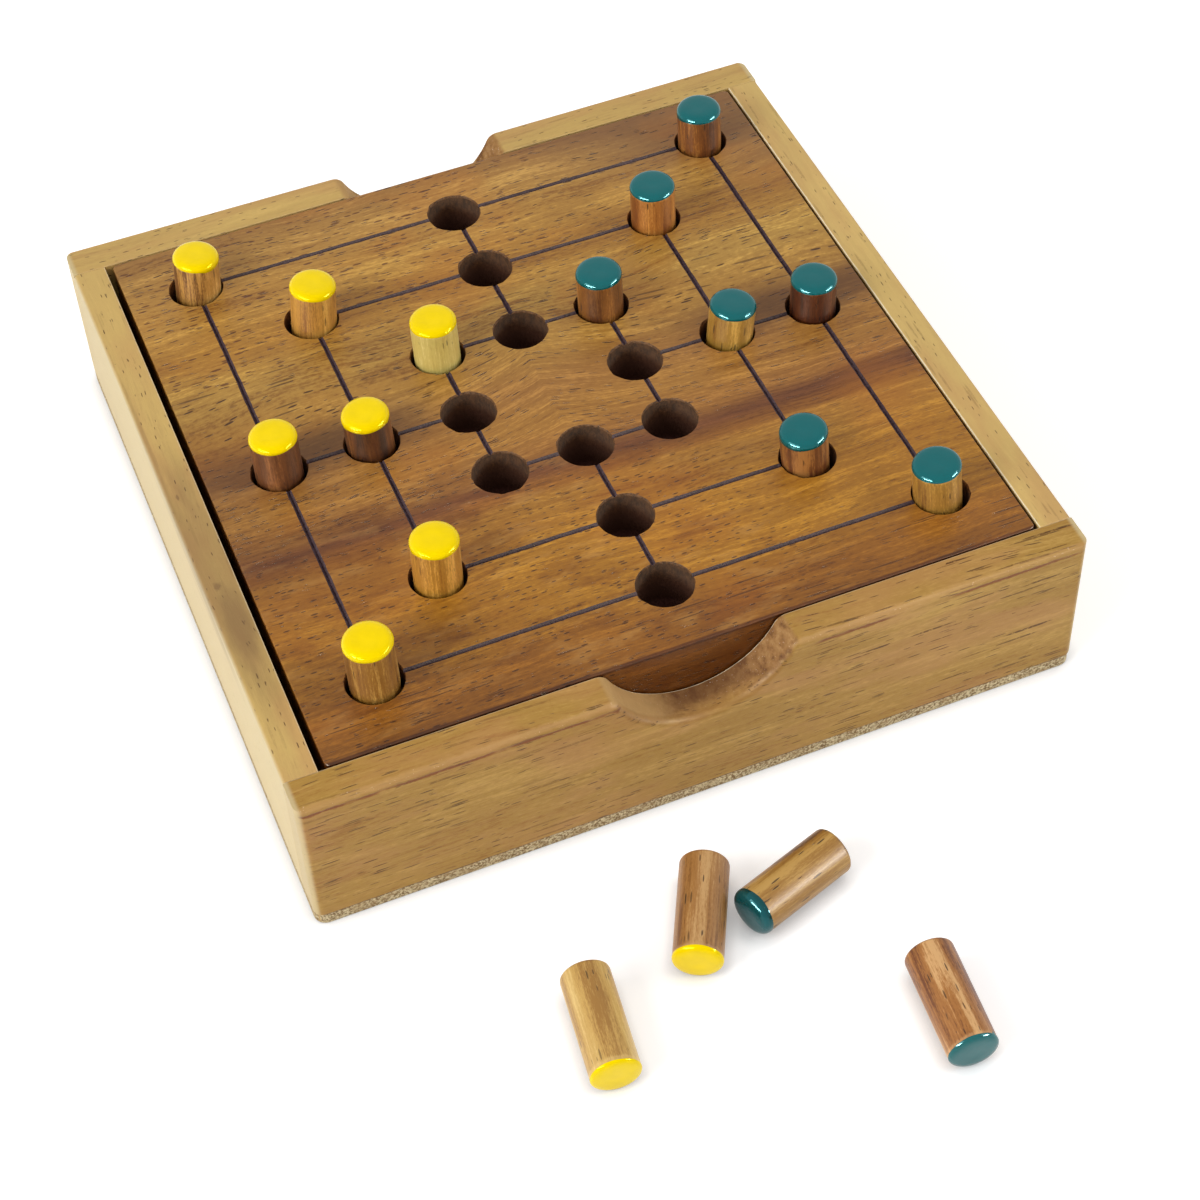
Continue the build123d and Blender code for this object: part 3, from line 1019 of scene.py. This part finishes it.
pegLooks = {  # wood of each peg: light, middle, dark, then how strongly it is figured
    "yellow_peg_1": ((244, 202, 122), (190, 140, 66), (104, 60, 18), 1.8),
    "yellow_peg_2": ((240, 190, 96), (198, 144, 62), (140, 88, 30), 0.9),
    "yellow_peg_3": ((248, 230, 156), (216, 194, 106), (198, 169, 83), 0.5),
    "yellow_peg_4": ((146, 92, 43), (91, 49, 16), (48, 20, 4), 1.2),
    "yellow_peg_5": ((160, 102, 52), (108, 62, 28), (70, 34, 10), 1.0),
    "yellow_peg_6": ((236, 177, 78), (179, 124, 40), (136, 83, 20), 0.9),
    "yellow_peg_7": ((200, 153, 74), (146, 99, 33), (104, 63, 18), 1.0),
    "yellow_peg_8": ((222, 190, 120), (200, 160, 88), (158, 114, 54), 1.0),
    "yellow_peg_9": ((194, 152, 98), (160, 112, 58), (118, 74, 34), 1.0),
    "green_peg_1": ((190, 128, 58), (121, 69, 24), (72, 34, 9), 1.5),
    "green_peg_2": ((219, 154, 72), (170, 106, 41), (124, 67, 20), 1.0),
    "green_peg_3": ((182, 120, 54), (128, 78, 28), (84, 42, 10), 1.0),
    "green_peg_4": ((147, 85, 28), (86, 38, 8), (50, 16, 2), 1.2),
    "green_peg_5": ((219, 174, 84), (166, 124, 46), (131, 85, 22), 0.9),
    "green_peg_6": ((166, 112, 54), (110, 60, 24), (52, 20, 4), 1.7),
    "green_peg_7": ((222, 172, 80), (164, 120, 46), (112, 70, 20), 1.1),
    "green_peg_8": ((188, 147, 78), (156, 112, 50), (99, 59, 24), 1.4),
    "green_peg_9": ((211, 164, 109), (163, 106, 50), (104, 54, 27), 1.3),
}
enamelLooks = {  # paint, the darker tone towards its lower edge, and the tint of what it mirrors
    "yellow": {"paint": (247, 214, 0), "thin": (184, 160, 0), "mirror": (1.0, 0.8, 0.02, 1)},
    "green": {"paint": (0, 88, 90), "thin": (0, 58, 56), "mirror": (0.35, 0.95, 1.0, 1)},
    "deepGreen": {"paint": (0, 68, 72), "thin": (0, 46, 46), "mirror": (0.35, 0.95, 1.0, 1)},
    "dullGreen": {"paint": (14, 90, 90), "thin": (0, 66, 64), "mirror": (0.5, 0.95, 1.0, 1)},
}
enamelOf = {"green_peg_8": "deepGreen", "green_peg_9": "dullGreen"}  # the rest wear their set's own paint
pegGrain = {
    "stretch": (1.6, 2.4, 2.4), "fibre": 0.9, "coat": 0.7, "looseCoat": 0.25, "coatRoughness": 0.32,
    "pores": {"Length": 3.4, "Spacing": 0.5, "Share": 0.3, "Size": 0.26, "Clusters": 1.2},
}


def pegWood(node, look):
    light, middle, dark, figure = look
    material = startMaterial(node + "Wood")
    number = sum(ord(letter) for letter in node) * 7.3 % 211
    large = millimetres("pegCoords")
    coords = alongGrain(large, (0, 90, 0), (number, number * 1.7 % 97, number * 0.6 % 53))
    drawn = stretch(coords, *pegGrain["stretch"])
    colour, height = longGrain(drawn, light, middle, dark, figure, pegGrain["fibre"])
    pores = dashes(coords, pegGrain["pores"])
    colour = stain(colour, pores, 0.9, [v * 0.5 for v in dark])
    where = axesOf(large)
    rim = rubbed(coords, minus(17.7, where[2]), 0.7, 1.0)  # bare wood under the paint's edge
    colour = stain(colour, rim, 0.35, [min(240, v * 1.05 + 8) for v in light])
    foot = rubbed(large, where[2], 0.5, 0.5)
    colour = stain(colour, foot, 0.4, [v * 0.7 for v in dark])
    dent = minus(times(height, 0.5), pores)
    coat = pegGrain["looseCoat" if node[-1] in "89" else "coat"]  # pegs 8 and 9 lie loose and are duller
    shine = {"Coat_Weight": coat, "Coat_Roughness": pegGrain["coatRoughness"]}
    return finish(material, colour, dent, 0.1, scaled(height, 0.2, 0.3), **shine)


def enamel(name, look):
    material = startMaterial(name)
    large = millimetres("pegCoords")
    pool = noise(large, 0.35, 2.0)
    dim = [v * 0.9 for v in look["paint"]]
    shade = blend(ease(pool, 0.3, 0.7, 0.0, 0.3), tone(*look["paint"]), tone(*dim))
    ragged = noise(large, 0.8, 3.0, 0.6)
    low = ease(scaled(ragged, 0.5, axesOf(large)[2]), 17.9, 17.4)
    shade = stain(shade, low, 0.7, look["thin"])
    dust = ease(noise(large, 2.5, 2.0), 0.72, 0.8)
    tall = plus(pool, times(dust, 0.1))
    mirror = {"Specular_IOR_Level": 0.6, "Specular_Tint": look["mirror"]}
    return finish(material, shade, tall, 0.1, scaled(dust, 0.2, 0.07), **mirror)


enamels = {name: enamel(name + "Enamel", look) for name, look in enamelLooks.items()}
print("peg materials built")

# Pegs: a stick and its dipped cap

peg = {
    "length": 18.5, "woodRadius": 3.95, "woodTop": 17.35, "sides": 56, "footEdge": 0.65, "topEdge": 0.15,
    # the paint from its lower edge to its crown: how far under the top, and how wide
    "coat": [
        (1.35, 3.99), (1.15, 3.98), (0.95, 3.94), (0.76, 3.87), (0.58, 3.76), (0.42, 3.61),
        (0.29, 3.42), (0.18, 3.18), (0.1, 2.85), (0.05, 2.4), (0.02, 1.7), (0.0, 0.9),
    ],
    "sag": 0.1, "leastRun": -0.2, "dipFrom": 17.0, "seed": 21,
}
coatDrips = {  # thickness of the paint, how far it runs down, its tilt in mm, heading of the lowest side
    "green_peg_1": (1.0, 0.15, 0.7, 205), "green_peg_2": (0.8, -0.1, 0.1, 205),
    "green_peg_3": (0.9, 0.0, 0.1, 230), "green_peg_6": (0.95, 0.1, 0.2, 250),
    "green_peg_8": (1.15, 0.2, 0.2, 80), "green_peg_9": (0.6, 0.0, 0.1, 0),
    "yellow_peg_4": (0.9, 0.15, 0.1, 250), "yellow_peg_5": (0.9, 0.1, 0.1, 220),
    "yellow_peg_7": (0.95, 0.0, 0.15, 230), "yellow_peg_8": (0.45, 0.0, 0.05, 0),
    "yellow_peg_9": (0.6, 0.0, 0.1, 90),
}
pegChance = Random(peg["seed"])


def pegBlank():
    height = peg["woodTop"]
    blank = startRod(peg["sides"], peg["woodRadius"], height, height / 2)
    editMode()
    roundEdges(blank, lambda a, b, d: level(0, a, d), peg["footEdge"], 3)
    roundEdges(blank, lambda a, b, d: level(height, a, d), peg["topEdge"], 2)
    objectMode()
    return blank


def coatBlank():
    (lowest, radius), (second, _), *rings = peg["coat"]
    coat = startRod(peg["sides"], radius, lowest - second, peg["length"] - (lowest + second) / 2)
    editMode()
    pickFaces(coat, lambda middle, normal: normal.z > 0.9)
    below, wide = second, radius
    for drop, narrow in rings:  # ring by ring to the crown
        pull(dz=below - drop)
        widen(narrow / wide)
        below, wide = drop, narrow
    objectMode()
    return coat


def ownCoords(piece):  # remember the peg's own millimetre space before it is put in place
    space = piece.data.attributes.new("pegCoords", "FLOAT_VECTOR", "POINT")
    for point, item in zip(piece.data.vertices, space.data):
        item.vector = point.co


def pegPlace(node):  # read the peg's axis, foot and tip from its CAD solid
    points = {tuple(round(v, 7) for v in point.co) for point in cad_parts[node].data.vertices}
    points = [Vector(point) for point in points]
    middle = sum(points, Vector()) / len(points)
    rays = [point - middle for point in points]
    axis = Vector((0.3, 0.2, 1))
    for _ in range(60):  # the long direction of a round bar
        axis = sum((ray * ray.dot(axis) for ray in rays), Vector()).normalized()
    heights = [ray.dot(axis) for ray in rays]
    low, high = min(heights), max(heights)

    def ending(at):  # how wide the bar is at one end
        edge = [ray for ray, height in zip(rays, heights) if abs(height - at) < touch * mm]
        return max((ray - axis * at).length for ray in edge)

    if ending(low) < ending(high):  # the bevelled tip is the narrower end
        axis, low, high = -axis, -high, -low
    foot = middle + axis * low
    return Matrix.Translation(foot) @ axis.to_track_quat("Z", "Y").to_matrix().to_4x4()


def ripple(angle, phase, phaseTwo):  # the lower edge of the paint is wavy
    return peg["sag"] * (0.6 * sin(2 * angle + phase) + 0.4 * sin(5 * angle + phaseTwo))


blank, coating = pegBlank(), coatBlank()
crown, paintEdge = peg["length"] * mm, (peg["length"] - peg["coat"][0][0] + touch) * mm
for node in sorted(pegLooks):
    team = node.split("_")[0]
    stick = copyOf(blank, node.replace("_peg_", "PegWood"))
    cap = copyOf(coating, node.replace("_peg_", "PegEnamel"))
    usual = (0.85, pegChance.uniform(-0.1, 0.15), pegChance.uniform(0, 0.15), pegChance.uniform(0, 360))
    thick, extra, tilt, heading = coatDrips.get(node, usual)
    phases = (pegChance.uniform(0, 2 * pi), pegChance.uniform(0, 2 * pi))
    for point in cap.data.vertices:  # the lower edge of the paint sags unevenly
        if point.co.z < paintEdge:
            angle = atan2(point.co.y, point.co.x)
            down = extra + tilt * cos(angle - radians(heading)) + ripple(angle, *phases)
            point.co.z -= max(peg["leastRun"], down) * mm
    for piece in (stick, cap):  # a thin dip leaves more of the stick bare
        for point in piece.data.vertices:
            if point.co.z > peg["dipFrom"] * mm:
                point.co.z = crown - (crown - point.co.z) * thick
    place = pegPlace(node)
    paint = enamels[enamelOf.get(node, team)]
    for piece, material in ((stick, pegWood(node, pegLooks[node])), (cap, paint)):
        ownCoords(piece)
        piece.data.transform(place)
        dress(piece, material)
        smoothen(piece, 40)
        handIn(piece, node + "_body", team + "_peg_wood", node)
bpy.data.objects.remove(blank)
bpy.data.objects.remove(coating)
print("pegs made")

# Table, light and camera

studio = {
    "floorTone": 0.88, "floorSize": 6, "floorDrop": 0.00005, "contact": 0.6, "contactReach": 0.003,
    "floorGlow": 0.38, "farGlow": 0.75, "fadeFrom": 220.0, "fadeTo": 700.0,
    "sky": 0.64, "aim": (0, 0, 0.01),
    "left": {"place": (-0.66, -0.18, 0.46), "size": (0.5, 0.42), "power": 3.7},
    "right": {"place": (0.62, -0.34, 0.44), "size": (0.4, 0.35), "power": 1.5},
    # bright panes that are only mirrored, in enamel and on edges: place, size and strength
    "panes": [
        ((-0.66, -0.36, 0.30), (0.55, 0.16), 65.0),
        ((0.60, -0.46, 0.28), (0.42, 0.13), 65.0),
    ],
}


def seenBackground():  # 1 where the camera sees or mirrors it, 0 where it lights
    rays = addNode("ShaderNodeLightPath").outputs
    return larger(rays["Is Camera Ray"], larger(rays["Is Glossy Ray"], rays["Is Transmission Ray"]))


def tableTop():
    material = startMaterial("tableWhite")
    cloud = noise(millimetres(), 0.02, 2.0)
    white, whiter = (studio["floorTone"],) * 3 + (1,), (studio["floorTone"] * 1.01,) * 3 + (1,)
    colour = blend(cloud, white, whiter)
    # a narrow soft shade where things touch the table
    reach = {"Distance": studio["contactReach"]}
    clear = addNode("ShaderNodeAmbientOcclusion", reach, samples=8).outputs["AO"]
    shade = scaled(clear, studio["contact"], 1.0 - studio["contact"])
    colour = blend(1.0, colour, shade, "MULTIPLY")
    lit = addNode("ShaderNodeBsdfDiffuse", {"Color": colour})
    # the lamps fade with the distance, the white doesn't
    away = lengthOf(millimetres())
    glowing = ease(away, studio["fadeFrom"], studio["fadeTo"], studio["floorGlow"], studio["farGlow"])
    strength = times(times(seenBackground(), shade), glowing)
    glow = addNode("ShaderNodeEmission", {"Color": (1, 1, 1, 1), "Strength": strength})
    both = addNode("ShaderNodeAddShader", {0: lit.outputs[0], 1: glow.outputs[0]})
    addNode("ShaderNodeOutputMaterial", {"Surface": both.outputs[0]})
    return material


bpy.ops.object.select_all(action="DESELECT")
bpy.ops.mesh.primitive_plane_add(size=studio["floorSize"], location=(0, 0, -studio["floorDrop"]))
table = bpy.context.active_object
table.name = "tableTop"
dress(table, tableTop())

world = bpy.data.worlds.new("studioWorld")
bpy.context.scene.world = world
world.use_nodes = True
bench["tree"] = world.node_tree
bench["tree"].nodes.clear()
dim = addNode("ShaderNodeBackground", {"Color": (1, 1, 1, 1), "Strength": studio["sky"]})
bright = addNode("ShaderNodeBackground", {"Color": (1, 1, 1, 1), "Strength": 1.0})
sky = addNode("ShaderNodeMixShader", {0: seenBackground(), 1: dim.outputs[0], 2: bright.outputs[0]})
addNode("ShaderNodeOutputWorld", {"Surface": sky.outputs[0]})


def softBox(name, place, size, power):
    bpy.ops.object.select_all(action="DESELECT")
    bpy.ops.object.light_add(type="AREA", location=place)
    lamp = bpy.context.active_object
    lamp.name = name
    lamp.data.shape = "RECTANGLE"
    lamp.data.size, lamp.data.size_y = size
    lamp.data.energy = power
    lamp.rotation_euler = (Vector(studio["aim"]) - Vector(place)).to_track_quat("-Z", "Y").to_euler()
    return lamp


for side in ("left", "right"):
    softBox(side + "Box", **studio[side])
for number, (place, size, glow) in enumerate(studio["panes"]):
    power = glow * pi * size[0] * size[1]  # the larger the pane, the more it takes to glow as bright
    softBox("pane" + str(number + 1), place, size, power).visible_diffuse = False

camera = {
    "place": (-99.94, -294.90, 337.60), "turn": (40.6105, 1.8533, -22.1952),
    "lens": 78.306, "sensor": 36, "near": 0.01, "far": 20,
}
turn = [radians(angle) for angle in camera["turn"]]
bpy.ops.object.camera_add(location=Vector(camera["place"]) * mm, rotation=turn)
eye = bpy.context.active_object
eye.data.sensor_width = camera["sensor"]
eye.data.lens = camera["lens"]
eye.data.clip_start, eye.data.clip_end = camera["near"], camera["far"]
bpy.context.scene.camera = eye
bpy.context.scene.view_settings.view_transform = "Standard"
